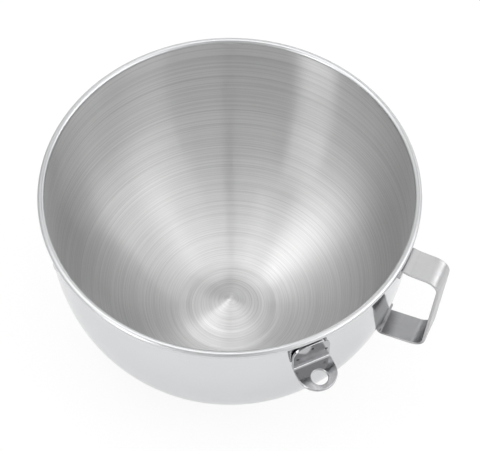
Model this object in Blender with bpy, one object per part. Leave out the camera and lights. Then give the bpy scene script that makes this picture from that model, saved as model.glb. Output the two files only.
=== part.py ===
"""Stainless steel bowl for a stand mixer, with its strap handle, side brackets and rear pin.

Metres, +Z up. The origin is on the bowl's axis, in the plane that the base rests on. The two
side brackets lie on the X axis, the rear pin on +Y and the handle between -X and -Y.
"""
import math

import bmesh
import bpy
from mathutils import Matrix, Vector

# Bowl shell, pressed and spun from one disc of sheet. Depths count down from the rim's top.
RIM_RADIUS = 0.1200
BOWL_HEIGHT = 0.1463
SHEET = 0.0009
BASE_FLAT_RADIUS = 0.0360
WALL_CURVE_DEPTH_POWER = 3.73
WALL_CURVE_RADIUS_POWER = 1.26

# Rolled bead along the rim, an open roll that stops short of the wall.
BEAD_DIAMETER = 0.0045
BEAD_TURN = math.radians(290)

# Raised cone in the middle of the base.
DIMPLE_RADIUS = 0.0290
DIMPLE_SLOPE = math.radians(22)
DIMPLE_FOOT_BEND = 0.0294
DIMPLE_TIP_BEND = 0.0070

# Gap that the fitted pieces keep to the shell.
SEAT_GAP = 0.0003

# Strap handle, bent from flat bar, with both end flanges turned into the loop.
HANDLE_AZIMUTH = math.radians(-139.1)
STRAP_WIDTH = 0.0189
STRAP_THICKNESS = 0.0020
STRAP_EDGE_ROUND = 0.0005
STRAP_END_ROUND = 0.0040
HANDLE_TOP_STEP = 0.0019
HANDLE_TOP_STEP_LENGTH = 0.0066
HANDLE_REACH = 0.0287
HANDLE_GRIP_LEAN = 0.0044
HANDLE_DROP = 0.0773
HANDLE_LOWER_LEG_SLOPE = math.radians(6.5)
HANDLE_TOP_BEND = 0.0088
HANDLE_BOTTOM_BEND = 0.0102
HANDLE_STEP_BEND = 0.0080
HANDLE_ROOT_BEND = 0.0026
HANDLE_FLANGE = 0.0125

# Side brackets, one part used on both sides: an upright plate with a level tab below.
BRACKET_THICKNESS = 0.0020
BRACKET_WIDTH = 0.0248
BRACKET_TOP_DEPTH = 0.0082
BRACKET_CORNER = 0.0088
BRACKET_TAB_DEPTH = 0.0285
BRACKET_TAB_REACH = 0.0203
BRACKET_BEND = 0.0018
BRACKET_EDGE_ROUND = 0.0006
LOCATING_HOLE_DIAMETER = 0.0103
LOCATING_HOLE_TO_TIP = 0.0087
CUTTER_OVERRUN = 0.0030

# Rear pin, a low button with a domed end.
PIN_DIAMETER = 0.0070
PIN_DEPTH = 0.0150
PIN_SIDE_LENGTH = 0.0012
PIN_DOME_RISE = 0.0011

# Facets, and the angles from which an edge counts as sharp.
BOWL_SEGMENTS = 72
WALL_STEPS = 12
BEAD_STEPS = 12
BEND_STEPS = 6
TAB_END_STEPS = 18
EDGE_STEPS = 2
PIN_SEGMENTS = 32
HOLE_SEGMENTS = 32
SHARP_ANGLE = math.radians(35)
ROUNDED_EDGE_ANGLE = math.radians(40)
QUARTER_TURN = math.radians(90)
FULL_TURN = math.radians(360)
MERGE_DISTANCE = 0.000002


def clear_scene():
    """Empty the scene."""
    for item in list(bpy.data.objects):
        bpy.data.objects.remove(item, do_unlink=True)


def metal(name, colour, roughness):
    """A bare metal finish."""
    material = bpy.data.materials.new(name)
    material.use_nodes = True
    shader = material.node_tree.nodes["Principled BSDF"]
    shader.inputs["Base Color"].default_value = (*colour, 1.0)
    shader.inputs["Metallic"].default_value = 1.0
    shader.inputs["Roughness"].default_value = roughness
    return material


def place(name, data, material):
    """Turn a bmesh into a named, smooth-shaded object in the scene."""
    mesh = bpy.data.meshes.new(name)
    bmesh.ops.recalc_face_normals(data, faces=data.faces)
    data.to_mesh(mesh)
    data.free()
    mesh.shade_smooth()
    mesh.set_sharp_from_angle(angle=SHARP_ANGLE)
    mesh.materials.append(material)
    item = bpy.data.objects.new(name, mesh)
    bpy.context.collection.objects.link(item)
    return item


def add_edge_round(item, radius):
    """Round the sharp edges of a piece."""
    bevel = item.modifiers.new("rounded edges", "BEVEL")
    bevel.width = radius
    bevel.segments = EDGE_STEPS
    bevel.limit_method = "ANGLE"
    bevel.angle_limit = ROUNDED_EDGE_ANGLE
    bevel.use_clamp_overlap = True


def add_thickness(item, thickness):
    """Give a surface its sheet thickness, half to each side."""
    solidify = item.modifiers.new("sheet", "SOLIDIFY")
    solidify.thickness = thickness
    solidify.offset = 0.0
    solidify.use_even_offset = True
    solidify.use_rim = True


def spun(section, segments):
    """A surface of revolution about Z from a section in radius and height."""
    data = bmesh.new()
    verts = [data.verts.new((point.x, 0.0, point.y)) for point in section]
    edges = [data.edges.new(pair) for pair in zip(verts, verts[1:])]
    bmesh.ops.spin(
        data,
        geom=verts + edges,
        axis=(0.0, 0.0, 1.0),
        cent=(0.0, 0.0, 0.0),
        angle=FULL_TURN,
        steps=segments,
        use_merge=True,
    )
    bmesh.ops.remove_doubles(data, verts=data.verts, dist=MERGE_DISTANCE)
    return data


def arc(centre, radius, start, end, steps):
    """Points along an arc in radius and height, both ends included."""
    points = []
    for index in range(steps + 1):
        angle = start + (end - start) * index / steps
        points.append(Vector((centre[0] + radius * math.cos(angle), centre[1] + radius * math.sin(angle))))
    return points


def height(depth):
    """Height above the base plane of a depth below the rim's top."""
    return BOWL_HEIGHT - depth


def wall_outside():
    """Largest outer radius of the wall, just under the bead."""
    return RIM_RADIUS - BEAD_DIAMETER + SHEET


def wall_radius(depth):
    """Outer radius of the wall at a depth below the rim's top."""
    share = 1.0 - (depth / BOWL_HEIGHT) ** WALL_CURVE_DEPTH_POWER
    return BASE_FLAT_RADIUS + (wall_outside() - BASE_FLAT_RADIUS) * share ** (1.0 / WALL_CURVE_RADIUS_POWER)


def wall_tangent(depth):
    """Unit vector up the outer wall, in radius and height, at a depth."""
    ratio = depth / BOWL_HEIGHT
    share = 1.0 - ratio ** WALL_CURVE_DEPTH_POWER
    share_slope = WALL_CURVE_DEPTH_POWER * ratio ** (WALL_CURVE_DEPTH_POWER - 1.0) / BOWL_HEIGHT
    radius_power = 1.0 / WALL_CURVE_RADIUS_POWER
    spread = wall_outside() - BASE_FLAT_RADIUS
    return Vector((spread * radius_power * share ** (radius_power - 1.0) * share_slope, 1.0)).normalized()


def dimple_section():
    """Mid-line of the cone in the base, from its tip out to its foot."""
    floor = SHEET / 2.0
    foot_inner = DIMPLE_RADIUS - DIMPLE_FOOT_BEND * math.sin(DIMPLE_SLOPE)
    foot_height = floor + DIMPLE_FOOT_BEND * (1.0 - math.cos(DIMPLE_SLOPE))
    tip_edge = DIMPLE_TIP_BEND * math.sin(DIMPLE_SLOPE)
    tip_edge_height = foot_height + (foot_inner - tip_edge) * math.tan(DIMPLE_SLOPE)
    tip_centre = (0.0, tip_edge_height - DIMPLE_TIP_BEND * math.cos(DIMPLE_SLOPE))
    foot_centre = (DIMPLE_RADIUS, floor + DIMPLE_FOOT_BEND)
    points = arc(tip_centre, DIMPLE_TIP_BEND, QUARTER_TURN, QUARTER_TURN - DIMPLE_SLOPE, EDGE_STEPS)
    points += arc(foot_centre, DIMPLE_FOOT_BEND, -QUARTER_TURN - DIMPLE_SLOPE, -QUARTER_TURN, BEND_STEPS)
    return points


def wall_section():
    """Mid-line of the wall, from the flat base up to the start of the bead."""
    points = []
    mid_spread = wall_outside() - SHEET / 2.0 - BASE_FLAT_RADIUS
    mid_height = BOWL_HEIGHT - SHEET / 2.0
    for index in range(WALL_STEPS + 1):
        angle = QUARTER_TURN * (1.0 - index / WALL_STEPS)
        depth = mid_height * math.sin(angle) ** (2.0 / WALL_CURVE_DEPTH_POWER)
        if depth > BEAD_DIAMETER:
            radius = BASE_FLAT_RADIUS + mid_spread * math.cos(angle) ** (2.0 / WALL_CURVE_RADIUS_POWER)
            points.append(Vector((radius, height(depth))))
    return points


def bead_section():
    """Mid-line of the rolled bead, from the wall over the top and round underneath."""
    centre = (RIM_RADIUS - BEAD_DIAMETER / 2.0, height(BEAD_DIAMETER / 2.0))
    start = 2.0 * QUARTER_TURN
    return arc(centre, (BEAD_DIAMETER - SHEET) / 2.0, start, start - BEAD_TURN, BEAD_STEPS)


def build_bowl(material):
    """The shell: one sheet, spun about Z, with its dimple, flat foot, wall and bead."""
    section = dimple_section() + wall_section() + bead_section()
    bowl = place("bowl", spun(section, BOWL_SEGMENTS), material)
    add_thickness(bowl, SHEET)
    return bowl


def rounded_path(corners, bends):
    """A path through corners, with each inner corner replaced by a tangent arc."""
    points = [corners[0]]
    for before, corner, after, bend in zip(corners, corners[1:], corners[2:], bends):
        inward = (before - corner).normalized()
        outward = (after - corner).normalized()
        half = inward.angle(outward) / 2.0
        reach = bend / math.tan(half)
        centre = corner + (inward + outward).normalized() * (bend / math.sin(half))
        start = corner + inward * reach - centre
        turn = (corner + outward * reach - centre).angle_signed(start)
        for index in range(BEND_STEPS + 1):
            points.append(centre + Matrix.Rotation(turn * index / BEND_STEPS, 2) @ start)
    points.append(corners[-1])
    return points


def handle_path():
    """Mid-line of the strap in radius and height, from the top flange to the bottom flange."""
    half = STRAP_THICKNESS / 2.0
    seat = wall_outside() + SEAT_GAP + half
    top_depth = BEAD_DIAMETER + SEAT_GAP + half
    leg_depth = top_depth + HANDLE_TOP_STEP
    grip_top = wall_outside() + HANDLE_REACH - half
    bottom_depth = leg_depth + HANDLE_DROP
    bottom_corner = Vector((grip_top - HANDLE_GRIP_LEAN, height(bottom_depth)))
    flange_depth = bottom_depth - HANDLE_FLANGE / 2.0
    up = wall_tangent(flange_depth)
    out = Vector((up.y, -up.x))
    seat_middle = Vector((wall_radius(flange_depth), height(flange_depth))) + out * (SEAT_GAP + half)
    leg = Vector((-math.cos(HANDLE_LOWER_LEG_SLOPE), -math.sin(HANDLE_LOWER_LEG_SLOPE)))
    # The lower leg meets the flange where the leg's line crosses the flange's line.
    gap = seat_middle - bottom_corner
    bottom_root = bottom_corner + leg * (gap.cross(up) / leg.cross(up))
    corners = [
        Vector((seat, height(top_depth + HANDLE_FLANGE))),
        Vector((seat, height(top_depth))),
        Vector((seat + HANDLE_TOP_STEP_LENGTH, height(leg_depth))),
        Vector((grip_top, height(leg_depth))),
        bottom_corner,
        bottom_root,
        bottom_root + up * HANDLE_FLANGE,
    ]
    bends = [HANDLE_ROOT_BEND, HANDLE_STEP_BEND, HANDLE_TOP_BEND, HANDLE_BOTTOM_BEND, HANDLE_ROOT_BEND]
    return rounded_path(corners, bends)


def build_handle(material):
    """The handle: one flat strap bent to a loop, seated on the wall by its two flanges."""
    data = bmesh.new()
    verts = [data.verts.new((point.x, -STRAP_WIDTH / 2.0, point.y)) for point in handle_path()]
    edges = [data.edges.new(pair) for pair in zip(verts, verts[1:])]
    swept = bmesh.ops.extrude_edge_only(data, edges=edges)
    moved = [part for part in swept["geom"] if isinstance(part, bmesh.types.BMVert)]
    bmesh.ops.translate(data, verts=moved, vec=(0.0, STRAP_WIDTH, 0.0))
    ends = [vert for vert in data.verts if len(vert.link_edges) == 2]
    bmesh.ops.bevel(
        data,
        geom=ends,
        offset=STRAP_END_ROUND,
        segments=BEND_STEPS,
        profile=0.5,
        affect="VERTICES",
        material=-1,
    )
    handle = place("handle", data, material)
    add_thickness(handle, STRAP_THICKNESS)
    add_edge_round(handle, STRAP_EDGE_ROUND)
    handle.rotation_euler = (0.0, 0.0, HANDLE_AZIMUTH)
    return handle


def plate_length():
    """Length of the upright plate above the bend."""
    return BRACKET_TAB_DEPTH - BRACKET_BEND - BRACKET_TOP_DEPTH


def bend_length():
    """Length of the bend along the front face's line."""
    return QUARTER_TURN * BRACKET_BEND


def bracket_face():
    """Radius from the bowl's axis to the front face of a bracket's plate."""
    return wall_outside() + SEAT_GAP + BRACKET_THICKNESS


def bracket_blank():
    """Outline of the bracket before bending: distance from the plate's top edge, and width."""
    half = BRACKET_WIDTH / 2.0
    length = plate_length() + bend_length() + BRACKET_TAB_REACH - BRACKET_BEND
    side = half - BRACKET_CORNER
    outline = arc((BRACKET_CORNER, side), BRACKET_CORNER, 2.0 * QUARTER_TURN, QUARTER_TURN, BEND_STEPS)
    outline += arc((length - half, 0.0), half, QUARTER_TURN, -QUARTER_TURN, TAB_END_STEPS)
    outline += arc((BRACKET_CORNER, -side), BRACKET_CORNER, -QUARTER_TURN, -2.0 * QUARTER_TURN, BEND_STEPS)
    return outline


def bent(along, across, behind):
    """Where a point of the blank comes to lie after bending, for the bracket on +X."""
    centre_x = bracket_face() + BRACKET_BEND
    centre_z = height(BRACKET_TAB_DEPTH - BRACKET_BEND)
    past_plate = along - plate_length()
    if past_plate <= 0.0:
        return Vector((bracket_face() - behind, across, centre_z - past_plate))
    if past_plate < bend_length():
        angle = past_plate / BRACKET_BEND
        radius = BRACKET_BEND + behind
        return Vector((centre_x - radius * math.cos(angle), across, centre_z - radius * math.sin(angle)))
    return Vector((centre_x + past_plate - bend_length(), across, height(BRACKET_TAB_DEPTH) - behind))


def bracket_bent():
    """The bent bracket on +X, without its hole."""
    data = bmesh.new()
    verts = [data.verts.new((point.x, point.y, 0.0)) for point in bracket_blank()]
    face = data.faces.new(verts)
    swept = bmesh.ops.extrude_face_region(data, geom=[face])
    moved = [part for part in swept["geom"] if isinstance(part, bmesh.types.BMVert)]
    bmesh.ops.translate(data, verts=moved, vec=(0.0, 0.0, BRACKET_THICKNESS))
    for index in range(BEND_STEPS + 1):
        bmesh.ops.bisect_plane(
            data,
            geom=data.verts[:] + data.edges[:] + data.faces[:],
            dist=MERGE_DISTANCE,
            plane_co=(plate_length() + bend_length() * index / BEND_STEPS, 0.0, 0.0),
            plane_no=(1.0, 0.0, 0.0),
        )
    for vert in data.verts:
        vert.co = bent(vert.co.x, vert.co.y, vert.co.z)
    return data


def hole_cutter(material):
    """Cylinder that cuts the locating hole in the tab on +X."""
    data = bmesh.new()
    bmesh.ops.create_cone(
        data,
        cap_ends=True,
        segments=HOLE_SEGMENTS,
        radius1=LOCATING_HOLE_DIAMETER / 2.0,
        radius2=LOCATING_HOLE_DIAMETER / 2.0,
        depth=BRACKET_THICKNESS + 2.0 * CUTTER_OVERRUN,
    )
    across_x = bracket_face() + BRACKET_TAB_REACH - LOCATING_HOLE_TO_TIP
    middle_z = height(BRACKET_TAB_DEPTH) - BRACKET_THICKNESS / 2.0
    bmesh.ops.translate(data, verts=data.verts, vec=(across_x, 0.0, middle_z))
    cutter = place("hole_cutter", data, material)
    cutter.hide_render = True
    cutter.display_type = "WIRE"
    return cutter


def build_brackets(material):
    """Both side brackets, the second turned half round the bowl's axis."""
    right = place("right_bracket", bracket_bent(), material)
    cut = right.modifiers.new("locating hole", "BOOLEAN")
    cut.operation = "DIFFERENCE"
    cut.solver = "EXACT"
    cut.object = hole_cutter(material)
    add_edge_round(right, BRACKET_EDGE_ROUND)
    graph = bpy.context.evaluated_depsgraph_get()
    finished = bpy.data.meshes.new_from_object(right.evaluated_get(graph))
    left = bpy.data.objects.new("left_bracket", finished)
    bpy.context.collection.objects.link(left)
    left.rotation_euler = (0.0, 0.0, 2.0 * QUARTER_TURN)
    return right, left


def build_pin(material):
    """The rear pin: a short round button with a domed end, on +Y."""
    radius = PIN_DIAMETER / 2.0
    dome = (radius ** 2 + PIN_DOME_RISE ** 2) / (2.0 * PIN_DOME_RISE)
    spread = math.asin(radius / dome)
    dome_centre = (0.0, PIN_SIDE_LENGTH + PIN_DOME_RISE - dome)
    section = [Vector((0.0, 0.0)), Vector((radius, 0.0))]
    section += arc(dome_centre, dome, QUARTER_TURN - spread, QUARTER_TURN, BEND_STEPS)
    pin = place("rear_pin", spun(section, PIN_SEGMENTS), material)
    pin.location = (0.0, wall_outside() + SEAT_GAP, height(PIN_DEPTH))
    pin.rotation_euler = (-QUARTER_TURN, 0.0, 0.0)
    return pin


def main():
    """Build every piece of the bowl."""
    clear_scene()
    build_bowl(metal("polished stainless steel", (0.66, 0.67, 0.68), 0.12))
    build_handle(metal("satin stainless steel", (0.58, 0.58, 0.58), 0.28))
    build_brackets(metal("bracket steel", (0.50, 0.50, 0.51), 0.18))
    build_pin(metal("pin steel", (0.55, 0.55, 0.56), 0.22))


main()
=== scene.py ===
"""Stand mixer bowl as a finished picture: fine meshes, steel finishes, studio light and the camera.

Metres, +Z up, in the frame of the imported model. The bowl's axis is Z, the two side brackets lie
on the X axis, the rear pin on +Y and the handle between -X and -Y.
"""

import logging
import math
from dataclasses import dataclass
from enum import Enum, IntEnum
from typing import Sequence, Union

import bmesh
import bpy
from mathutils import Matrix, Vector


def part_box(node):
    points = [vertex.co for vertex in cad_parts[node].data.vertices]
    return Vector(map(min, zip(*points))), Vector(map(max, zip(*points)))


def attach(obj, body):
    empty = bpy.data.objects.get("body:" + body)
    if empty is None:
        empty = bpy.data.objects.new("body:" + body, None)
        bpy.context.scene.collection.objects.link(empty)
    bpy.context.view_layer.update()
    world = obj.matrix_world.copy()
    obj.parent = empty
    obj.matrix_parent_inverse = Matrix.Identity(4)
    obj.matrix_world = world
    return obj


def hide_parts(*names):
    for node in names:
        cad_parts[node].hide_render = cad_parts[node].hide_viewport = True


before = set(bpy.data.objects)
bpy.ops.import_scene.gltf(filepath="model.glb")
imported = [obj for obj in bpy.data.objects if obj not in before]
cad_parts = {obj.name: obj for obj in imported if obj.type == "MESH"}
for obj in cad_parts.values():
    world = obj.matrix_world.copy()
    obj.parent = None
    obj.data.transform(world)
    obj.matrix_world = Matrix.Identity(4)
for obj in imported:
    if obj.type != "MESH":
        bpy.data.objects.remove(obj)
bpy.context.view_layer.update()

MM = 0.001
QUARTER_TURN = math.radians(90.0)
HALF_TURN = math.radians(180.0)
FULL_TURN = math.radians(360.0)
AXIS = Vector((0.0, 0.0, 1.0))
ORIGIN = Vector((0.0, 0.0, 0.0))
MERGE_DISTANCE = 0.001 * MM
SHARP_ANGLE = math.radians(40.0)
EDGE_SEGMENTS = 4
BRUSHING_MAP = "brushing"

log = logging.getLogger("mixer_bowl")


class Slot(Enum):
    """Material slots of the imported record."""

    POLISHED = "polished_steel"
    SATIN = "satin_steel"
    BRACKET = "bracket_steel"
    PIN = "pin_steel"


class ShellFace(IntEnum):
    """Faces of the shell that have a finish of their own, by material index."""

    INSIDE = 0
    BEAD = 1
    OUTSIDE = 2


def linear_rgb(sheet_colour: str) -> tuple[float, float, float, float]:
    """Turn an sRGB hex colour into the linear colour that shaders take.

    Args:
        sheet_colour: Colour as "#rrggbb".

    Returns:
        Linear red, green, blue and an alpha of one.
    """
    linear = []
    for start in (1, 3, 5):
        level = int(sheet_colour[start : start + 2], 16) / 255.0
        linear.append(level / 12.92 if level <= 0.04045 else ((level + 0.055) / 1.055) ** 2.4)
    return (linear[0], linear[1], linear[2], 1.0)


# Shape helpers


def arc(centre: Vector, radius: float, start: float, end: float, steps: int) -> list[Vector]:
    """Points along an arc in radius and height.

    Args:
        centre: Centre of the arc.
        radius: Radius of the arc.
        start: First angle, counted from the outward direction.
        end: Last angle.
        steps: Number of steps between them.

    Returns:
        The points, both ends included.
    """
    points = []
    for index in range(steps + 1):
        angle = start + (end - start) * index / steps
        points.append(centre + radius * Vector((math.cos(angle), math.sin(angle))))
    return points


def rounded_path(corners: Sequence[Vector], bends: Sequence[float], steps: int) -> list[Vector]:
    """Run a line through corners, with a tangent arc in place of each inner corner.

    Args:
        corners: The corners, in radius and height.
        bends: Radius of the arc at each inner corner.
        steps: Number of steps along each arc.

    Returns:
        The points of the line.
    """
    points = [corners[0]]
    for before, corner, after, bend in zip(corners, corners[1:], corners[2:], bends):
        inward = (before - corner).normalized()
        outward = (after - corner).normalized()
        half = inward.angle(outward) / 2.0
        centre = corner + (inward + outward).normalized() * (bend / math.sin(half))
        start = corner + inward * (bend / math.tan(half)) - centre
        turn = (corner + outward * (bend / math.tan(half)) - centre).angle_signed(start)
        for index in range(steps + 1):
            points.append(centre + Matrix.Rotation(turn * index / steps, 2) @ start)
    points.append(corners[-1])
    return points


def sheet_outline(middle: Sequence[Vector], thickness: float) -> list[Vector]:
    """Both faces of a sheet that starts on the axis, joined round its free edge.

    Args:
        middle: The sheet's mid-line, in radius and height, from the axis outwards.
        thickness: Thickness of the sheet.

    Returns:
        The line out along the inner face and back along the outer one.
    """
    inner = []
    outer = []
    for index, point in enumerate(middle):
        along = middle[min(index + 1, len(middle) - 1)] - middle[max(index - 1, 0)]
        across = Vector((-along.y, along.x)).normalized() * thickness / 2.0
        inner.append(point + across)
        outer.append(point - across)
    inner[0].x = 0.0
    outer[0].x = 0.0
    return inner + outer[::-1]


def spun(section: Sequence[Vector], segments: int) -> bmesh.types.BMesh:
    """Spin a section once round the Z axis.

    Args:
        section: Points in radius and height; both ends lie on the axis.
        segments: Number of steps round the axis.

    Returns:
        The closed surface.
    """
    data = bmesh.new()
    verts = [data.verts.new((point.x, 0.0, point.y)) for point in section]
    edges = [data.edges.new(pair) for pair in zip(verts, verts[1:])]
    bmesh.ops.spin(
        data,
        geom=verts + edges,
        axis=AXIS,
        cent=ORIGIN,
        angle=FULL_TURN,
        steps=segments,
        use_merge=True,
    )
    bmesh.ops.remove_doubles(data, verts=data.verts, dist=MERGE_DISTANCE)
    bmesh.ops.recalc_face_normals(data, faces=data.faces)
    return data


def rotate_mesh(data: bmesh.types.BMesh, angle: float, axis: Vector) -> None:
    """Turn a mesh about an axis through the origin.

    Args:
        data: The mesh.
        angle: Angle that it turns by.
        axis: Direction of the axis.
    """
    rotation = Matrix.Rotation(angle, 3, axis)
    bmesh.ops.rotate(data, verts=data.verts, cent=ORIGIN, matrix=rotation)


def finished_piece(
    name: str,
    data: bmesh.types.BMesh,
    finishes: Sequence[bpy.types.Material],
    node: str,
) -> bpy.types.Object:
    """Make a mesh into a piece of the bowl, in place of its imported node.

    Args:
        name: Name of the piece.
        data: Its mesh, already in place.
        finishes: Its materials, by face index.
        node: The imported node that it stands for.

    Returns:
        The piece's object.
    """
    mesh = bpy.data.meshes.new(name)
    data.to_mesh(mesh)
    data.free()
    mesh.shade_smooth()
    mesh.set_sharp_from_angle(angle=SHARP_ANGLE)
    for finish in finishes:
        mesh.materials.append(finish)
    item = bpy.data.objects.new(name, mesh)
    bpy.context.collection.objects.link(item)
    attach(item, "root")
    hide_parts(node)
    log.info("%s: %d faces", name, len(mesh.polygons))
    return item


def add_fine_edges(item: bpy.types.Object, radius: float) -> None:
    """Break the sharp edges of a piece with a small round.

    Args:
        item: The piece.
        radius: Radius of the round.
    """
    bevel = item.modifiers.new("broken edges", "BEVEL")
    bevel.width = radius
    bevel.segments = EDGE_SEGMENTS
    bevel.limit_method = "ANGLE"
    bevel.angle_limit = SHARP_ANGLE
    bevel.harden_normals = True


# Pieces


@dataclass(frozen=True)
class Shell:
    """The drawn and spun shell: dimple, flat foot, wall and rolled bead, one sheet."""

    rim_radius: float
    height: float
    sheet: float = 0.9 * MM
    foot_radius: float = 36.0 * MM
    wall_depth_power: float = 3.73
    wall_radius_power: float = 1.26
    bead_diameter: float = 4.5 * MM
    bead_turn: float = math.radians(290.0)
    dimple_radius: float = 29.0 * MM
    dimple_slope: float = math.radians(22.0)
    dimple_foot_bend: float = 29.4 * MM
    dimple_tip_bend: float = 7.0 * MM
    dimple_steps: int = 16
    wall_steps: int = 64
    bead_steps: int = 28
    segments: int = 256

    @property
    def wall_outside(self) -> float:
        """Largest outer radius of the wall, just under the bead."""
        return self.rim_radius - self.bead_diameter + self.sheet

    def wall_radius(self, depth: float) -> float:
        """Outer radius of the wall.

        Args:
            depth: Depth below the rim's top.

        Returns:
            The radius there.
        """
        share = 1.0 - (depth / self.height) ** self.wall_depth_power
        spread = self.wall_outside - self.foot_radius
        return self.foot_radius + spread * share ** (1.0 / self.wall_radius_power)

    def wall_up(self, depth: float) -> Vector:
        """Direction up the outer wall.

        Args:
            depth: Depth below the rim's top.

        Returns:
            Unit vector in radius and height.
        """
        step = self.sheet / 10.0
        rise = self.wall_radius(depth - step) - self.wall_radius(depth + step)
        return Vector((rise, 2.0 * step)).normalized()

    def dimple_line(self) -> list[Vector]:
        """Mid-line of the dimple, from its tip out to its foot.

        Returns:
            Points in radius and height.
        """
        floor = self.sheet / 2.0
        foot_inner = self.dimple_radius - self.dimple_foot_bend * math.sin(self.dimple_slope)
        foot_height = floor + self.dimple_foot_bend * (1.0 - math.cos(self.dimple_slope))
        tip_edge = self.dimple_tip_bend * math.sin(self.dimple_slope)
        tip_height = foot_height + (foot_inner - tip_edge) * math.tan(self.dimple_slope)
        tip = Vector((0.0, tip_height - self.dimple_tip_bend * math.cos(self.dimple_slope)))
        foot = Vector((self.dimple_radius, floor + self.dimple_foot_bend))
        slope_end = QUARTER_TURN - self.dimple_slope
        line = arc(tip, self.dimple_tip_bend, QUARTER_TURN, slope_end, self.dimple_steps // 2)
        foot_start = -QUARTER_TURN - self.dimple_slope
        line += arc(foot, self.dimple_foot_bend, foot_start, -QUARTER_TURN, self.dimple_steps)
        return line

    def wall_line(self) -> list[Vector]:
        """Mid-line of the wall, from the flat foot up to the bead.

        Returns:
            Points in radius and height.
        """
        line = []
        spread = self.wall_outside - self.sheet / 2.0 - self.foot_radius
        drop = self.height - self.sheet / 2.0
        for index in range(self.wall_steps + 1):
            angle = QUARTER_TURN * (1.0 - index / self.wall_steps)
            depth = drop * math.sin(angle) ** (2.0 / self.wall_depth_power)
            radius = self.foot_radius + spread * math.cos(angle) ** (2.0 / self.wall_radius_power)
            if depth > self.bead_diameter / 2.0:
                line.append(Vector((radius, self.height - depth)))
        return line

    def bead_line(self) -> list[Vector]:
        """Mid-line of the bead, from the wall over the top and round underneath.

        Returns:
            Points in radius and height.
        """
        radius = self.bead_diameter / 2.0
        centre = Vector((self.rim_radius - radius, self.height - radius))
        middle = radius - self.sheet / 2.0
        return arc(centre, middle, HALF_TURN, HALF_TURN - self.bead_turn, self.bead_steps)

    def build(
        self,
        inside: bpy.types.Material,
        bead: bpy.types.Material,
        outside: bpy.types.Material,
    ) -> bpy.types.Object:
        """Make the shell.

        Args:
            inside: Finish of the inner face.
            bead: Finish of the bead.
            outside: Finish of the outer face.

        Returns:
            The shell's object.
        """
        middle = self.dimple_line() + self.wall_line() + self.bead_line()
        data = spun(sheet_outline(middle, self.sheet), self.segments)
        mouth = Vector((0.0, 0.0, self.height))
        bead_foot = self.height - self.bead_diameter / 2.0
        for face in data.faces:
            centre = face.calc_center_median()
            if centre.z > bead_foot or centre.xy.length > self.wall_outside:
                face.material_index = ShellFace.BEAD
            elif face.normal.dot(mouth - centre) < 0.0:
                face.material_index = ShellFace.OUTSIDE
        finishes = {
            ShellFace.INSIDE: inside,
            ShellFace.BEAD: bead,
            ShellFace.OUTSIDE: outside,
        }
        ordered = [finishes[face] for face in ShellFace]
        return finished_piece("bowl_shell", data, ordered, "bowl")


@dataclass(frozen=True)
class BentPlate:
    """A flat blank, rounded at its ends, that is bent along a line."""

    line: tuple[Vector, ...]
    width: float
    thickness: float
    hole_segments: int = 64

    def stations(self) -> list[float]:
        """Distance of each point of the line from its start.

        Returns:
            The distances, in the order of the points.
        """
        distances = [0.0]
        for before, after in zip(self.line, self.line[1:]):
            distances.append(distances[-1] + (after - before).length)
        return distances

    def bend(self, along: float, across: float, above: float) -> Vector:
        """Carry a point of the blank to its place on the bent plate.

        Args:
            along: Distance along the blank.
            across: Distance from the blank's middle line.
            above: Height over the blank's mid-plane.

        Returns:
            The place, with the plate's line in the plane of X and Z.
        """
        stations = self.stations()
        index = 0
        while index < len(stations) - 2 and along > stations[index + 1]:
            index += 1
        share = (along - stations[index]) / (stations[index + 1] - stations[index])
        foot = self.line[index].lerp(self.line[index + 1], share)
        direction = self.direction(index).lerp(self.direction(index + 1), share).normalized()
        point = foot + Vector((-direction.y, direction.x)) * above
        return Vector((point.x, across, point.y))

    def direction(self, index: int) -> Vector:
        """Direction of the line at one of its points.

        Args:
            index: Number of the point.

        Returns:
            Unit vector in radius and height.
        """
        last = len(self.line) - 1
        along = self.line[min(index + 1, last)] - self.line[max(index - 1, 0)]
        return along.normalized()

    def slab(
        self, outline: Sequence[Vector], hole: tuple[Vector, float] | None
    ) -> bmesh.types.BMesh:
        """Cut the blank, give it its thickness and bend it.

        Args:
            outline: Outline of the blank, along and across.
            hole: Centre and radius of a round hole, or nothing.

        Returns:
            The bent plate's mesh.
        """
        data = bmesh.new()
        verts = [data.verts.new((point.x, point.y, 0.0)) for point in outline]
        edges = [data.edges.new(pair) for pair in zip(verts, verts[1:] + verts[:1])]
        if hole:
            centre, radius = hole
            ring = bmesh.ops.create_circle(data, segments=self.hole_segments, radius=radius)
            bmesh.ops.translate(data, verts=ring["verts"], vec=(centre.x, centre.y, 0.0))
            edges = data.edges[:]
        bmesh.ops.triangle_fill(data, use_beauty=True, use_dissolve=True, edges=edges)
        raised = bmesh.ops.extrude_face_region(data, geom=data.faces[:])
        moved = [part for part in raised["geom"] if isinstance(part, bmesh.types.BMVert)]
        bmesh.ops.translate(data, verts=moved, vec=(0.0, 0.0, self.thickness))
        bmesh.ops.translate(data, verts=data.verts, vec=(0.0, 0.0, -self.thickness / 2.0))
        for station in self.stations()[1:-1]:
            bmesh.ops.bisect_plane(
                data,
                geom=data.verts[:] + data.edges[:] + data.faces[:],
                dist=MERGE_DISTANCE,
                plane_co=(station, 0.0, 0.0),
                plane_no=(1.0, 0.0, 0.0),
            )
        brushing = data.loops.layers.uv.new(BRUSHING_MAP)
        for face in data.faces:
            for loop in face.loops:
                loop[brushing].uv = (loop.vert.co.x, loop.vert.co.y + loop.vert.co.z)
        for vert in data.verts:
            vert.co = self.bend(*vert.co)
        bmesh.ops.recalc_face_normals(data, faces=data.faces)
        return data


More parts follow.
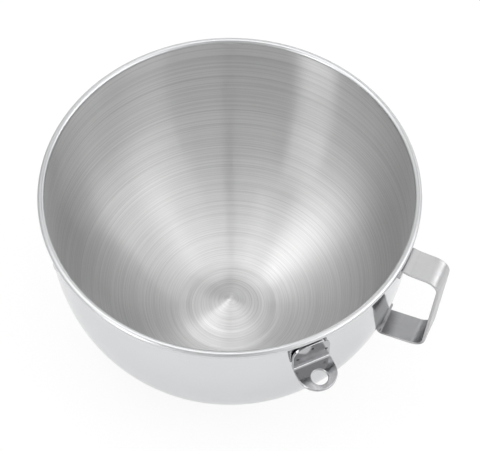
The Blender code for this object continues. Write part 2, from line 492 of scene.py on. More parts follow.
@dataclass(frozen=True)
class Handle:
    """The strap handle, bent from flat bar, with both end flanges turned into the loop."""

    shell: Shell
    azimuth: float = math.radians(-139.1)
    seat_gap: float = 0.3 * MM
    width: float = 18.9 * MM
    thickness: float = 2.0 * MM
    edge_round: float = 0.5 * MM
    end_round: float = 4.0 * MM
    top_step: float = 1.9 * MM
    top_step_length: float = 6.6 * MM
    reach: float = 28.7 * MM
    grip_lean: float = 4.4 * MM
    drop: float = 77.3 * MM
    lower_leg_slope: float = math.radians(6.5)
    bends: tuple[float, ...] = (2.6 * MM, 8.0 * MM, 8.8 * MM, 10.2 * MM, 2.6 * MM)
    flange: float = 12.5 * MM
    bend_steps: int = 14
    end_steps: int = 10

    def line(self) -> tuple[Vector, ...]:
        """Mid-line of the strap, from the top flange to the bottom flange.

        Returns:
            Points in radius and height.
        """
        top = self.shell.height
        half = self.thickness / 2.0
        seat = self.shell.wall_outside + self.seat_gap + half
        top_depth = self.shell.bead_diameter + self.seat_gap + half
        leg_depth = top_depth + self.top_step
        grip_top = self.shell.wall_outside + self.reach - half
        bottom_depth = leg_depth + self.drop
        bottom = Vector((grip_top - self.grip_lean, top - bottom_depth))
        flange_depth = bottom_depth - self.flange / 2.0
        up = self.shell.wall_up(flange_depth)
        wall = Vector((self.shell.wall_radius(flange_depth), top - flange_depth))
        seat_middle = wall + Vector((up.y, -up.x)) * (self.seat_gap + half)
        leg = Vector((-math.cos(self.lower_leg_slope), -math.sin(self.lower_leg_slope)))
        root = bottom + leg * ((seat_middle - bottom).cross(up) / leg.cross(up))
        corners = (
            Vector((seat, top - top_depth - self.flange)),
            Vector((seat, top - top_depth)),
            Vector((seat + self.top_step_length, top - leg_depth)),
            Vector((grip_top, top - leg_depth)),
            bottom,
            root,
            root + up * self.flange,
        )
        return tuple(rounded_path(corners, self.bends, self.bend_steps))

    def lower_leg(self) -> tuple[float, float]:
        """Where the lower leg begins and ends along the strap."""
        length = BentPlate(self.line(), self.width, self.thickness).stations()[-1]
        return length - self.flange - self.reach, length - self.flange

    def build(self, finish: bpy.types.Material) -> bpy.types.Object:
        """Make the handle.

        Args:
            finish: Its finish.

        Returns:
            The handle's object.
        """
        plate = BentPlate(self.line(), self.width, self.thickness)
        length = plate.stations()[-1]
        side = self.width / 2.0 - self.end_round
        corners = (
            Vector((length - self.end_round, side)),
            Vector((self.end_round, side)),
            Vector((self.end_round, -side)),
            Vector((length - self.end_round, -side)),
        )
        outline = []
        for turn, centre in enumerate(corners):
            start = turn * QUARTER_TURN
            outline += arc(centre, self.end_round, start, start + QUARTER_TURN, self.end_steps)
        data = plate.slab(outline, None)
        rotate_mesh(data, self.azimuth, AXIS)
        item = finished_piece("strap_handle", data, (finish,), "handle")
        add_fine_edges(item, self.edge_round)
        return item


@dataclass(frozen=True)
class Bracket:
    """A side bracket: an upright plate with a level, round-ended tab and its locating hole."""

    shell: Shell
    seat_gap: float = 0.3 * MM
    thickness: float = 2.0 * MM
    width: float = 24.8 * MM
    top_depth: float = 8.2 * MM
    corner: float = 8.8 * MM
    tab_depth: float = 28.5 * MM
    tab_reach: float = 20.3 * MM
    bend: float = 1.8 * MM
    edge_round: float = 0.6 * MM
    hole_diameter: float = 10.3 * MM
    hole_to_tip: float = 8.7 * MM
    bend_steps: int = 12
    tab_steps: int = 48
    corner_steps: int = 16

    def line(self) -> tuple[Vector, ...]:
        """Mid-line of the bracket, from the plate's top edge to the tab's tip.

        Returns:
            Points in radius and height.
        """
        half = self.thickness / 2.0
        face = self.shell.wall_outside + self.seat_gap + self.thickness
        top = self.shell.height
        corners = (
            Vector((face - half, top - self.top_depth)),
            Vector((face - half, top - self.tab_depth - half)),
            Vector((face + self.tab_reach, top - self.tab_depth - half)),
        )
        return tuple(rounded_path(corners, (self.bend + half,), self.bend_steps))

    def build(
        self, name: str, node: str, azimuth: float, finish: bpy.types.Material
    ) -> bpy.types.Object:
        """Make one of the two brackets.

        Args:
            name: Name of the piece.
            node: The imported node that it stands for.
            azimuth: Side of the bowl that it stands on, as an angle from +X.
            finish: Its finish.

        Returns:
            The bracket's object.
        """
        plate = BentPlate(self.line(), self.width, self.thickness)
        length = plate.stations()[-1]
        half = self.width / 2.0
        side = half - self.corner
        tab_middle = Vector((length - half, 0.0))
        outline = arc(tab_middle, half, -QUARTER_TURN, QUARTER_TURN, self.tab_steps)
        for start, centre in ((QUARTER_TURN, side), (HALF_TURN, -side)):
            middle = Vector((self.corner, centre))
            outline += arc(middle, self.corner, start, start + QUARTER_TURN, self.corner_steps)
        hole = (Vector((length - self.hole_to_tip, 0.0)), self.hole_diameter / 2.0)
        data = plate.slab(outline, hole)
        rotate_mesh(data, azimuth, AXIS)
        item = finished_piece(name, data, (finish,), node)
        add_fine_edges(item, self.edge_round)
        return item


@dataclass(frozen=True)
class Pin:
    """The rear pin: a low round button with a domed end, on +Y."""

    shell: Shell
    seat_gap: float = 0.3 * MM
    diameter: float = 7.0 * MM
    depth: float = 15.0 * MM
    side_length: float = 1.2 * MM
    dome_rise: float = 1.1 * MM
    edge_round: float = 0.25 * MM
    segments: int = 96
    dome_steps: int = 16

    def build(self, finish: bpy.types.Material) -> bpy.types.Object:
        """Make the pin.

        Args:
            finish: Its finish.

        Returns:
            The pin's object.
        """
        radius = self.diameter / 2.0
        dome = (radius**2 + self.dome_rise**2) / (2.0 * self.dome_rise)
        spread = math.asin(radius / dome)
        centre = Vector((0.0, self.side_length + self.dome_rise - dome))
        section = [Vector((0.0, 0.0)), Vector((radius, 0.0))]
        section += arc(centre, dome, QUARTER_TURN - spread, QUARTER_TURN, self.dome_steps)
        section[-1].x = 0.0
        data = spun(section, self.segments)
        rotate_mesh(data, -QUARTER_TURN, Vector((1.0, 0.0, 0.0)))
        seat = self.shell.wall_outside + self.seat_gap
        bmesh.ops.translate(data, verts=data.verts, vec=(0.0, seat, self.shell.height - self.depth))
        item = finished_piece("button_pin", data, (finish,), "rear_pin")
        add_fine_edges(item, self.edge_round)
        return item


# Finishes


Input = Union[bpy.types.Node, bpy.types.NodeSocket, Sequence[float], float]
SMOOTH = "SMOOTHSTEP"
# Most of a noise texture's values lie between these two.
MOST_NOISE = (0.3, 0.7)
# The Mix node's colour result, after its number and its vector.
MIXED_COLOUR = 2


class NodeBench:
    """The node tree of a finish or of the room, with one short way to add a node."""

    def __init__(self, tree: bpy.types.NodeTree) -> None:
        """Start from an empty tree.

        Args:
            tree: The tree of a material or of the world.
        """
        self.tree = tree
        self.tree.nodes.clear()

    def add(self, kind: str, *inputs: Input, **settings: object) -> bpy.types.Node:
        """Add a node with its settings and links.

        Args:
            kind: The node's type, without its first part, ShaderNode.
            *inputs: Its first inputs in order: values, sockets, or nodes for their first output.
            **settings: Its own properties in lower case, and capitalised its inputs by name or
                identifier, with spaces as underscores.

        Returns:
            The node.
        """
        node = self.tree.nodes.new(f"ShaderNode{kind}")
        for key, value in settings.items():
            if key[0].islower():
                setattr(node, key, value)
        links = list(zip(node.inputs, inputs))
        for key, value in settings.items():
            if key[0].isupper():
                names = {key, key.replace("_", " ")}
                named = [item for item in node.inputs if names & {item.name, item.identifier}]
                links.append((named[0], value))
        for socket, value in links:
            if isinstance(value, bpy.types.Node):
                value = value.outputs[0]
            if isinstance(value, bpy.types.NodeSocket):
                self.tree.links.new(value, socket)
            else:
                socket.default_value = value
        return node


def new_material(name: str) -> tuple[bpy.types.Material, NodeBench]:
    """A material and the bench that its nodes are added on.

    Args:
        name: Name of the material.

    Returns:
        The material and its bench.
    """
    material = bpy.data.materials.new(name)
    material.use_nodes = True
    return material, NodeBench(material.node_tree)


def both_ways(bench: NodeBench, noise: Input, swing: float) -> bpy.types.Node:
    """Turn noise from zero to one into a slope to either side.

    Args:
        bench: The material's bench.
        noise: The noise.
        swing: Distance between the two largest slopes.

    Returns:
        The slope.
    """
    return bench.add("Math", noise, swing, -swing / 2.0, operation="MULTIPLY_ADD")


def leaned(bench: NodeBench, normal: Input, across: Input, slope: Input) -> bpy.types.Node:
    """Lean a surface normal across its grooves.

    Args:
        bench: The material's bench.
        normal: The surface normal.
        across: Direction across the grooves.
        slope: How far it leans.

    Returns:
        The leaned unit normal.
    """
    lean = bench.add("VectorMath", across, operation="SCALE", Scale=slope)
    normal = bench.add("VectorMath", normal, lean, operation="ADD")
    return bench.add("VectorMath", normal, operation="NORMALIZE")


@dataclass(frozen=True)
class GrooveLayer:
    """One layer of turned grooves: how close they run, how soon they end, how uneven they are."""

    pitch: float
    arcs: float
    detail: float = 0.0


@dataclass(frozen=True)
class PaintedRing:
    """A ring painted on the dimple where its slope bends, as painted shade, and as a painted
    highlight where its shade is below zero: its run from the axis, its width and how dark it is.
    """

    run: float
    width: float
    shade: float


@dataclass(frozen=True)
class WeldDent:
    """One dent that a weld left: its place along the bent plate and across it."""

    along: float
    across: float


class TurnedSurface:
    """Directions and coordinates of a surface that was turned round Z."""

    # The run along the section is the radius and this share of the height, so that rings follow
    # each other on the steep wall too.
    height_share = 0.3

    def __init__(self, bench: NodeBench) -> None:
        """Work out the directions.

        Args:
            bench: The material's bench.
        """
        self.bench = bench
        place = bench.add("TexCoord").outputs["Object"]
        self.normal = bench.add("NewGeometry").outputs["Normal"]
        around = bench.add("VectorMath", AXIS, place, operation="CROSS_PRODUCT")
        around = bench.add("VectorMath", around, operation="NORMALIZE")
        self.across = bench.add("VectorMath", self.normal, around, operation="CROSS_PRODUCT")
        level = bench.add("VectorMath", place, (1.0, 1.0, 0.0), operation="MULTIPLY")
        self.outward = bench.add("VectorMath", level, operation="NORMALIZE")
        radius = bench.add("VectorMath", level, operation="LENGTH").outputs["Value"]
        height = bench.add("SeparateXYZ", place).outputs["Z"]
        rise = bench.add("Math", height, self.height_share, operation="MULTIPLY")
        self.run = bench.add("Math", radius, rise, operation="ADD")

    def grooves(self, layer: GrooveLayer) -> bpy.types.Node:
        """Noise from zero to one that is drawn out to long arcs round Z.

        Args:
            layer: The grooves' pitch, arcs and detail.

        Returns:
            The noise.
        """
        spread = self.bench.add("VectorMath", self.outward, operation="SCALE", Scale=layer.arcs)
        along = self.bench.add("Math", self.run, layer.pitch, operation="DIVIDE")
        lifted = self.bench.add("CombineXYZ", Z=along)
        place = self.bench.add("VectorMath", spread, lifted, operation="ADD")
        return self.bench.add("TexNoise", place, Scale=1.0, Detail=layer.detail)

    def leaned(self, slope: Input) -> bpy.types.Node:
        """The surface normal, leaned across the grooves by a slope."""
        return leaned(self.bench, self.normal, self.across, slope)


@dataclass(frozen=True)
class TurnedInside:
    """Stainless sheet, brushed round and round on the lathe.

    The eye sees each lamp fanned out across the grooves, as a bright wedge from rim to dimple,
    with faint rings over it.
    """

    # Real brushing runs about 0.03 mm apart, far under a pixel. These layers are drawn as coarse
    # as they need to show, and the grooves that fan out the light stay nearly true.
    groove_pitch: float = 0.05 * MM
    groove_slopes: tuple[float, float] = (0.38, 0.52)
    depth_layer: GrooveLayer = GrooveLayer(pitch=0.35 * MM, arcs=0.3, detail=2.0)
    depth_noise: tuple[float, float] = (0.25, 0.75)
    wave_layer: GrooveLayer = GrooveLayer(pitch=0.45 * MM, arcs=0.3, detail=1.0)
    wave_swing: float = 0.04
    line_layer: GrooveLayer = GrooveLayer(pitch=0.5 * MM, arcs=0.7, detail=2.0)
    line_noise: tuple[float, float] = (0.35, 0.65)
    line_shade: float = 0.65
    ring_layer: GrooveLayer = GrooveLayer(pitch=0.75 * MM, arcs=0.15)
    ring_noise: tuple[float, float] = (0.6, 0.7)
    ring_shade: float = 0.35
    # Rings of painted light and shade where the dimple's slope bends: painted shade near its tip
    # and at its foot, a painted highlight between.
    painted_rings: tuple[PaintedRing, ...] = (
        PaintedRing(run=15.8 * MM, width=1.0 * MM, shade=0.35),
        PaintedRing(run=22.6 * MM, width=0.8 * MM, shade=-0.35),
        PaintedRing(run=29.6 * MM, width=2.6 * MM, shade=0.35),
    )
    light_steel: str = "#dadada"
    dark_steel: str = "#c6c6c6"
    roughness: float = 0.3
    anisotropy: float = 1.0

    def slope(self, bench: NodeBench, turned: TurnedSurface) -> bpy.types.Node:
        """Slope of the grooves across their run.

        Args:
            bench: The material's bench.
            turned: The turned surface.

        Returns:
            The slope.
        """
        patches = turned.grooves(self.depth_layer)
        slopes = (*self.depth_noise, *self.groove_slopes)
        depth = bench.add("MapRange", patches, *slopes, interpolation_type=SMOOTH)
        # Each fine groove is a hollow arc, so its slope runs evenly from one side to the other.
        grooves = bench.add("Math", turned.run, self.groove_pitch, operation="DIVIDE")
        share = bench.add("Math", grooves, operation="FRACT")
        side = bench.add("Math", share, 2.0, -1.0, operation="MULTIPLY_ADD")
        hollow = bench.add("Math", side, depth, operation="MULTIPLY")
        wave = both_ways(bench, turned.grooves(self.wave_layer), self.wave_swing)
        return bench.add("Math", hollow, wave, operation="ADD")

    def shade(self, bench: NodeBench, turned: TurnedSurface) -> bpy.types.Node:
        """How far the steel is from its light colour to its dark one, with rings of painted light
        and shade on the dimple.

        Args:
            bench: The material's bench.
            turned: The turned surface.

        Returns:
            The share of the dark colour.
        """
        lines = (turned.grooves(self.line_layer), *self.line_noise, 0.0, self.line_shade)
        rings = (turned.grooves(self.ring_layer), *self.ring_noise, 0.0, self.ring_shade)
        shade = bench.add(
            "Math",
            bench.add("MapRange", *lines, interpolation_type=SMOOTH),
            bench.add("MapRange", *rings, interpolation_type=SMOOTH),
            operation="ADD",
        )
        # Rings of painted shade and painted highlight where the dimple's slope bends.
        for mark in self.painted_rings:
            offset = bench.add("Math", turned.run, mark.run, operation="SUBTRACT")
            away = bench.add("Math", offset, operation="ABSOLUTE")
            edges = (mark.width / 2.0, mark.width, mark.shade, 0.0)
            ring = bench.add("MapRange", away, *edges, interpolation_type=SMOOTH)
            shade = bench.add("Math", shade, ring, operation="ADD")
        return shade

    def material(self) -> bpy.types.Material:
        """Build the finish.

        Returns:
            The finish as a material.
        """
        material, bench = new_material("inside_turned_steel")
        turned = TurnedSurface(bench)
        colour = bench.add(
            "Mix",
            data_type="RGBA",
            clamp_factor=False,
            Factor=self.shade(bench, turned),
            A_Color=linear_rgb(self.light_steel),
            B_Color=linear_rgb(self.dark_steel),
        )
        shader = bench.add(
            "BsdfPrincipled",
            Base_Color=colour.outputs[MIXED_COLOUR],
            Metallic=1.0,
            Roughness=self.roughness,
            Anisotropic=self.anisotropy,
            Normal=turned.leaned(self.slope(bench, turned)),
            Tangent=turned.across,
        )
        bench.add("OutputMaterial", shader)
        return material


@dataclass(frozen=True)
class RolledBead:
    """Stainless sheet, rolled to a bead and wiped.

    The eye sees a soft highlight all along the rim, with faint lines round it.
    """

    # The lines that the rolls leave are finer; drawn as coarse as they need to show.
    line_layer: GrooveLayer = GrooveLayer(pitch=0.25 * MM, arcs=0.8, detail=2.0)
    line_swing: float = 0.25
    steel: str = "#c6c7c8"
    roughness: float = 0.34
    anisotropy: float = 0.4

    def material(self) -> bpy.types.Material:
        """Build the finish.

        Returns:
            The finish as a material.
        """
        material, bench = new_material("bead_rolled_steel")
        turned = TurnedSurface(bench)
        slope = both_ways(bench, turned.grooves(self.line_layer), self.line_swing)
        shader = bench.add(
            "BsdfPrincipled",
            Base_Color=linear_rgb(self.steel),
            Metallic=1.0,
            Roughness=self.roughness,
            Anisotropic=self.anisotropy,
            Normal=turned.leaned(slope),
            Tangent=turned.across,
        )
        bench.add("OutputMaterial", shader)
        return material


@dataclass(frozen=True)
class BuffedOutside:
    """Stainless sheet, buffed to a mirror.

    The eye sees the floor and the fittings in it, a little wavy and hazed by the last buffing.
    """

    wave_layer: GrooveLayer = GrooveLayer(pitch=14.0 * MM, arcs=1.5, detail=1.0)
    wave_swing: float = 0.02
    haze_layer: GrooveLayer = GrooveLayer(pitch=1.5 * MM, arcs=3.0, detail=3.0)
    steel: str = "#c8c9cb"
    roughness: tuple[float, float] = (0.06, 0.14)

    def material(self) -> bpy.types.Material:
        """Build the finish.

        Returns:
            The finish as a material.
        """
        material, bench = new_material("outside_buffed_steel")
        turned = TurnedSurface(bench)
        slope = both_ways(bench, turned.grooves(self.wave_layer), self.wave_swing)
        haze = (turned.grooves(self.haze_layer), *MOST_NOISE, *self.roughness)
        shader = bench.add(
            "BsdfPrincipled",
            Base_Color=linear_rgb(self.steel),
            Metallic=1.0,
            Roughness=bench.add("MapRange", *haze, interpolation_type=SMOOTH),
            Normal=turned.leaned(slope),
        )
        bench.add("OutputMaterial", shader)
        return material


@dataclass(frozen=True)
class DrawnStrap:
    """Flat stainless bar, drawn through a die and bent.

    The eye sees a soft grain along the strap, and painted shade in the two corners of its
    lower leg, at its bend to the grip and where it meets the bowl's wall.
    """

    lower_leg: tuple[float, float]
    # Drawing marks are finer than this; drawn as coarse as they need to show.
    grain_length: float = 12.0 * MM
    grain_width: float = 0.5 * MM
    grain_detail: float = 3.0
    grain_swing: float = 0.3
    streak_noise: tuple[float, float] = (0.35, 0.65)
    streak_shade: float = 0.06
    patch_size: float = 7.0 * MM
    patch_detail: float = 2.0
    roughness: tuple[float, float] = (0.42, 0.5)
    anisotropy: float = 0.3
    # Where the painted shade lies in the lower leg's corners, how far in it fades and how much it
    # is trimmed back.
    grip_corner_before: float = 6.0 * MM
    grip_corner_after: float = 7.0 * MM
    wall_corner_length: float = 12.0 * MM
    leg_fade: float = 14.0 * MM
    corner_shade_trim: float = 0.15
    light_steel: str = "#b8b8b9"
    # Darker colour for the painted corner shade and for the grain streaks.
    shade_and_streak_steel: str = "#8c8c8e"

    def painted_corner_shade(self, bench: NodeBench, along: Input) -> bpy.types.Node:
        """How far the steel is from its light colour to its darker one, as painted shade in the
        lower leg's corners, before the streaks.

        Args:
            bench: The material's bench.
            along: Distance along the strap.

        Returns:
            The share of the darker colour, painted as shade.
        """
        start, end = self.lower_leg
        spans = (
            (start, start + self.grip_corner_after, 1.0, 0.0),
            (start - self.grip_corner_before, start, 0.0, 1.0),
            (end - self.wall_corner_length, end, 0.0, 1.0),
            (start - self.leg_fade, start, 0.0, 1.0),
        )
        after, before, wall_corner, leg = (
            bench.add("MapRange", along, *span, interpolation_type=SMOOTH) for span in spans
        )
        # Painted shade in the corner at the grip bend and in the corner at the wall, trimmed back
        # and kept to the lower leg.
        grip_corner = bench.add("Math", after, before, operation="MULTIPLY")
        corners = bench.add("Math", grip_corner, wall_corner, operation="MAXIMUM")
        trimmed_shade = bench.add("Math", corners, self.corner_shade_trim, operation="SUBTRACT")
        return bench.add("Math", trimmed_shade, leg, operation="MULTIPLY")

    def material(self) -> bpy.types.Material:
        """Build the finish.

        Returns:
            The finish as a material.
        """
        material, bench = new_material("strap_drawn_steel")
        place = bench.add("UVMap", uv_map=BRUSHING_MAP).outputs[0]
        lengthwise = bench.add("Tangent", direction_type="UV_MAP", uv_map=BRUSHING_MAP)
        normal = bench.add("NewGeometry").outputs["Normal"]
        across = bench.add("VectorMath", normal, lengthwise, operation="CROSS_PRODUCT")
        stretch = (1.0 / self.grain_length, 1.0 / self.grain_width, 0.0)
        stretched = bench.add("VectorMath", place, stretch, operation="MULTIPLY")
        grain = bench.add("TexNoise", stretched, Scale=1.0, Detail=self.grain_detail)
        scale = 1.0 / self.patch_size
        patches = bench.add("TexNoise", place, Scale=scale, Detail=self.patch_detail)
        along = bench.add("SeparateXYZ", place).outputs["X"]
        shades = (*self.streak_noise, -self.streak_shade, self.streak_shade)
        streaks = bench.add("MapRange", grain, *shades, interpolation_type=SMOOTH)
        colour = bench.add(
            "Mix",
            data_type="RGBA",
            Factor=bench.add("Math", self.painted_corner_shade(bench, along), streaks, operation="ADD"),
            A_Color=linear_rgb(self.light_steel),
            B_Color=linear_rgb(self.shade_and_streak_steel),
        )
        roughness = (*MOST_NOISE, *self.roughness)
        shader = bench.add(
            "BsdfPrincipled",
            Base_Color=colour.outputs[MIXED_COLOUR],
            Metallic=1.0,
            Roughness=bench.add("MapRange", patches, *roughness, interpolation_type=SMOOTH),
            Anisotropic=self.anisotropy,
            Normal=leaned(bench, normal, across, both_ways(bench, grain, self.grain_swing)),
            Tangent=across,
        )
        bench.add("OutputMaterial", shader)
        return material


@dataclass(frozen=True)
class StampedPlate:
    """Stainless plate, stamped, bent and tumbled bright, with three weld dents.

    The eye sees dark and light reflections that slight waves break up, and the small dents of
    the welds in the upright part, bumped in and painted dark as shade.
    """

    plate_thickness: float
    wave_size: float = 9.0 * MM
    wave_detail: float = 1.0
    wave_depth: float = 0.6 * MM
    wave_strength: float = 0.25
    # Tumbling scuffs are finer than this; drawn as coarse as they need to show.
    scuff_size: float = 0.8 * MM
    scuff_detail: float = 3.0
    roughness: tuple[float, float] = (0.06, 0.16)
    weld_dents: tuple[WeldDent, ...] = (
        WeldDent(along=11.2 * MM, across=-9.4 * MM),
        WeldDent(along=11.2 * MM, across=9.4 * MM),
        WeldDent(along=4.9 * MM, across=0.6 * MM),
    )
    dent_inner_radius: float = 0.8 * MM
    dent_outer_radius: float = 1.3 * MM
    steel: str = "#a8a8aa"
    # Dark colour painted into the weld dents as shade, on top of their bump.
    painted_dent_shade: str = "#38383a"

    def dents(self, bench: NodeBench) -> Input:
        """Where the weld dents are, as one inside them and zero elsewhere.

        Args:
            bench: The material's bench.

        Returns:
            The dents.
        """
        flat = bench.add("UVMap", uv_map=BRUSHING_MAP)
        dents = 0.0
        for dent in self.weld_dents:
            # The brushing map shifts the outer face by half the plate's thickness.
            middle = (dent.along, dent.across + self.plate_thickness / 2.0, 0.0)
            away = bench.add("VectorMath", flat, middle, operation="DISTANCE").outputs["Value"]
            edges = (self.dent_inner_radius, self.dent_outer_radius, 1.0, 0.0)
            dented = bench.add("MapRange", away, *edges, interpolation_type=SMOOTH)
            dents = bench.add("Math", dents, dented, operation="MAXIMUM")
        return dents

    def material(self) -> bpy.types.Material:
        """Build the finish.

        Returns:
            The finish as a material.
        """
        material, bench = new_material("bracket_tumbled_steel")
        place = bench.add("TexCoord").outputs["Object"]
        scales = (1.0 / self.wave_size, 1.0 / self.scuff_size)
        waves = bench.add("TexNoise", place, Scale=scales[0], Detail=self.wave_detail)
        scuffs = bench.add("TexNoise", place, Scale=scales[1], Detail=self.scuff_detail)
        dents = self.dents(bench)
        height = bench.add("Math", waves, dents, operation="SUBTRACT")
        bump = bench.add(
            "Bump", Height=height, Strength=self.wave_strength, Distance=self.wave_depth
        )
        # Painted shade in the weld dents.
        colour = bench.add(
            "Mix",
            data_type="RGBA",
            Factor=dents,
            A_Color=linear_rgb(self.steel),
            B_Color=linear_rgb(self.painted_dent_shade),
        )
        roughness = (*MOST_NOISE, *self.roughness)
        shader = bench.add(
            "BsdfPrincipled",
            Base_Color=colour.outputs[MIXED_COLOUR],
            Metallic=1.0,
            Roughness=bench.add("MapRange", scuffs, *roughness, interpolation_type=SMOOTH),
            Normal=bump,
        )
        bench.add("OutputMaterial", shader)
        return material


@dataclass(frozen=True)
class TurnedPin:
    """Stainless bar, turned to a button and tumbled.

    The eye sees a small, softly bright dome with fine marks.
    """

    # Turning marks are finer than this; drawn as coarse as they need to show.
    mark_size: float = 0.4 * MM
    mark_detail: float = 3.0
    steel: str = "#c8c8ca"
    roughness: tuple[float, float] = (0.15, 0.3)

    def material(self) -> bpy.types.Material:
        """Build the finish.

        Returns:
            The finish as a material.
        """
        material, bench = new_material("pin_turned_steel")
        place = bench.add("TexCoord").outputs["Object"]
        scale = 1.0 / self.mark_size
        marks = bench.add("TexNoise", place, Scale=scale, Detail=self.mark_detail)
        roughness = (*MOST_NOISE, *self.roughness)
        shader = bench.add(
            "BsdfPrincipled",
            Base_Color=linear_rgb(self.steel),
            Metallic=1.0,
            Roughness=bench.add("MapRange", marks, *roughness, interpolation_type=SMOOTH),
        )
        bench.add("OutputMaterial", shader)
        return material


# Studio


def direction_to(azimuth: float, elevation: float) -> Vector:
    """Unit vector from the bowl to a place round it.

    Args:
        azimuth: Angle round Z, from +X.
        elevation: Angle above the horizon.

    Returns:
        The direction.
    """
    level = math.cos(elevation)
    return Vector((level * math.cos(azimuth), level * math.sin(azimuth), math.sin(elevation)))


@dataclass(frozen=True)
class RoomPart:
    """A part of the room as seen from the bowl, with its spans of angles in degrees."""

    azimuths: tuple[float, float]
    elevations: tuple[float, float]

    @property
    def azimuth(self) -> float:
        """Azimuth of its middle, in radians."""
        return math.radians(sum(self.azimuths) / 2.0)

    @property
    def elevation(self) -> float:
        """Elevation of its middle, in radians."""
        return math.radians(sum(self.elevations) / 2.0)

    @property
    def half_width(self) -> float:
        """Half of its span of azimuth, in radians."""
        return math.radians(self.azimuths[1] - self.azimuths[0]) / 2.0

    @property
    def half_height(self) -> float:
        """Half of its span of elevation, in radians."""
        return math.radians(self.elevations[1] - self.elevations[0]) / 2.0


@dataclass(frozen=True)
class Softbox(RoomPart):
    """A flat, even light that faces the bowl. A brightness of one is as bright as the room."""

    brightness: float
    name: str
    distance: float = 2.4


@dataclass(frozen=True)
class DimPart(RoomPart):
    """A part of the room that gives less light, with a soft edge."""

    loss: float
    soft: float = math.radians(2.0)


SOFTBOXES = (
    Softbox((98.0, 118.5), (5.0, 31.0), 4.6, "left_softbox"),
    Softbox((50.0, 98.0), (14.0, 36.0), 0.5, "left_wall_panel"),
    Softbox((46.0, 84.0), (36.0, 60.0), 0.8, "left_high_panel"),
    Softbox((121.0, 187.0), (14.0, 36.0), 0.3, "front_wall_panel"),
    Softbox((188.0, 266.0), (14.0, 36.0), 2.3, "right_softbox"),
    Softbox((206.0, 266.0), (36.0, 60.0), 0.8, "right_high_panel"),
    Softbox((270.0, 360.0), (14.0, 36.0), 0.8, "far_wall_panel"),
    Softbox((312.0, 450.0), (60.0, 88.0), 1.42, "overhead_panel"),
    Softbox((256.0, 312.0), (68.0, 88.0), 1.3, "overhead_front_panel"),
)

DIM_PARTS = (
    DimPart((97.0, 182.0), (36.0, 60.0), 0.62),
    DimPart((95.0, 120.0), (36.0, 60.0), 0.15),
    DimPart((154.0, 158.0), (10.0, 88.0), 1.0),
    DimPart((302.0, 346.0), (36.0, 60.0), 0.6),
    DimPart((18.0, 110.0), (-20.0, 13.0), 0.5),
    DimPart((190.0, 275.0), (-20.0, 13.0), 0.5),
)


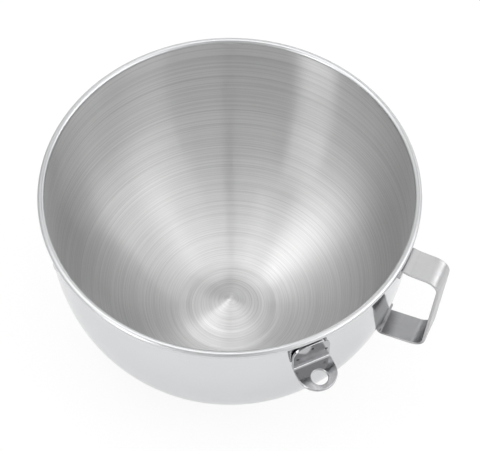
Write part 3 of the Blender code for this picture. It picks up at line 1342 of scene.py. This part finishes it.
@dataclass(frozen=True)
class Studio:
    """The pale floor, the light round the bowl and the camera of the photograph."""

    rim_height: float
    camera_elevation: float = math.radians(55.89)
    camera_azimuth: float = math.radians(156.0)
    camera_distance: float = 1080.0 * MM
    focal_length: float = 129.98
    sensor_width: float = 36.0
    aim: Vector = Vector((-28.76 * MM, 6.114 * MM, 0.0))
    floor_half_width: float = 6.0
    floor_gap: float = 0.05 * MM
    floor_colour: str = "#f4f4f4"
    # Share of plain white that the camera and the steel see in place of the lit floor.
    floor_white: float = 0.85
    floor_mirrored_white: float = 0.15
    # The room is dim down at the floor and full above.
    room_low: float = 0.15
    room_low_end: float = math.radians(4.0)
    room_full_start: float = math.radians(18.0)

    @property
    def rim_middle(self) -> Vector:
        """Middle of the bowl's mouth."""
        return Vector((0.0, 0.0, self.rim_height))

    def add_camera(self) -> None:
        """Stand the camera where the photograph was taken from."""
        data = bpy.data.cameras.new("camera")
        data.lens = self.focal_length
        data.sensor_width = self.sensor_width
        camera = bpy.data.objects.new("camera", data)
        bpy.context.collection.objects.link(camera)
        back = direction_to(self.camera_azimuth, self.camera_elevation)
        camera.location = self.rim_middle + back * self.camera_distance
        sight = self.rim_middle + self.aim - camera.location
        camera.rotation_euler = sight.to_track_quat("-Z", "Y").to_euler()
        bpy.context.scene.camera = camera

    def add_floor(self) -> None:
        """Lay a wide pale floor under the bowl, which keeps the bowl's shadow."""
        material, bench = new_material("pale_floor")
        path = bench.add("LightPath").outputs
        seen = bench.add("Math", path["Is Camera Ray"], self.floor_white, operation="MULTIPLY")
        mirrored = bench.add(
            "Math", path["Is Glossy Ray"], self.floor_mirrored_white, operation="MULTIPLY"
        )
        white = bench.add("Math", seen, mirrored, operation="MAXIMUM")
        plain = bench.add("BsdfDiffuse", Color=linear_rgb(self.floor_colour))
        glow = bench.add("Emission", Color=linear_rgb("#ffffff"), Strength=1.0)
        bench.add("OutputMaterial", bench.add("MixShader", white, plain, glow))
        data = bmesh.new()
        bmesh.ops.create_grid(data, x_segments=1, y_segments=1, size=self.floor_half_width)
        bmesh.ops.translate(data, verts=data.verts, vec=(0.0, 0.0, -self.floor_gap))
        mesh = bpy.data.meshes.new("pale_floor")
        data.to_mesh(mesh)
        data.free()
        mesh.materials.append(material)
        floor = bpy.data.objects.new("pale_floor", mesh)
        bpy.context.collection.objects.link(floor)

    def add_world(self) -> None:
        """Surround the bowl with a white room that is dimmer near its floor and in a few parts."""
        world = bpy.data.worlds.new("white_room")
        world.use_nodes = True
        bench = NodeBench(world.node_tree)
        direction = bench.add("SeparateXYZ", bench.add("TexCoord").outputs["Generated"]).outputs
        azimuth = bench.add("Math", direction["Y"], direction["X"], operation="ARCTAN2")
        elevation = bench.add("Math", direction["Z"], operation="ARCSINE")
        rise = (self.room_low_end, self.room_full_start, self.room_low, 1.0)
        room = bench.add("MapRange", elevation, *rise, interpolation_type=SMOOTH)
        for part in DIM_PARTS:
            turn = bench.add("Math", azimuth, part.azimuth, operation="SUBTRACT")
            turn = bench.add("Math", turn, HALF_TURN, -HALF_TURN, operation="WRAP")
            climb = bench.add("Math", elevation, part.elevation, operation="SUBTRACT")
            inside = None
            for offset, half in ((turn, part.half_width), (climb, part.half_height)):
                away = bench.add("Math", offset, operation="ABSOLUTE")
                edges = (half - part.soft, half + part.soft, 1.0, 0.0)
                within = bench.add("MapRange", away, *edges, interpolation_type=SMOOTH)
                if inside is not None:
                    within = bench.add("Math", inside, within, operation="MULTIPLY")
                inside = within
            lost = bench.add("Math", inside, part.loss, operation="MULTIPLY")
            room = bench.add("Math", room, lost, operation="SUBTRACT")
        seen = bench.add("LightPath").outputs["Is Camera Ray"]
        strength = bench.add("Math", room, seen, operation="MAXIMUM")
        white = linear_rgb("#ffffff")
        bench.add("OutputWorld", bench.add("Background", Color=white, Strength=strength))
        bpy.context.scene.world = world

    def add_softbox(self, box: Softbox) -> None:
        """Hang a softbox so that it faces the bowl.

        Args:
            box: Its place, size and brightness.
        """
        data = bpy.data.lights.new(box.name, "AREA")
        data.shape = "RECTANGLE"
        half_width = box.half_width * math.cos(box.elevation)
        data.size = 2.0 * box.distance * math.tan(half_width)
        data.size_y = 2.0 * box.distance * math.tan(box.half_height)
        data.energy = box.brightness * math.pi * data.size * data.size_y
        item = bpy.data.objects.new(box.name, data)
        bpy.context.collection.objects.link(item)
        back = direction_to(box.azimuth, box.elevation)
        item.location = self.rim_middle + back * box.distance
        item.rotation_euler = (-back).to_track_quat("-Z", "Y").to_euler()

    def build(self) -> None:
        """Set up the camera, the floor, the room and the softboxes."""
        self.add_camera()
        self.add_floor()
        self.add_world()
        for box in SOFTBOXES:
            self.add_softbox(box)


def main() -> None:
    """Build the bowl, its finishes and the studio, and keep the sizes."""
    logging.basicConfig(level=logging.INFO, format="%(name)s: %(message)s")
    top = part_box("bowl")[1]
    shell = Shell(rim_radius=top.x, height=top.z)
    shell.build(TurnedInside().material(), RolledBead().material(), BuffedOutside().material())
    handle = Handle(shell)
    handle.build(DrawnStrap(handle.lower_leg()).material())
    bracket = Bracket(shell)
    plate = StampedPlate(bracket.thickness).material()
    bracket.build("front_bracket", "left_bracket", HALF_TURN, plate)
    bracket.build("far_bracket", "right_bracket", 0.0, plate)
    Pin(shell).build(TurnedPin().material())
    Studio(rim_height=shell.height).build()

    bpy.context.scene.view_settings.view_transform = "Standard"


if __name__ == "__main__":
    main()
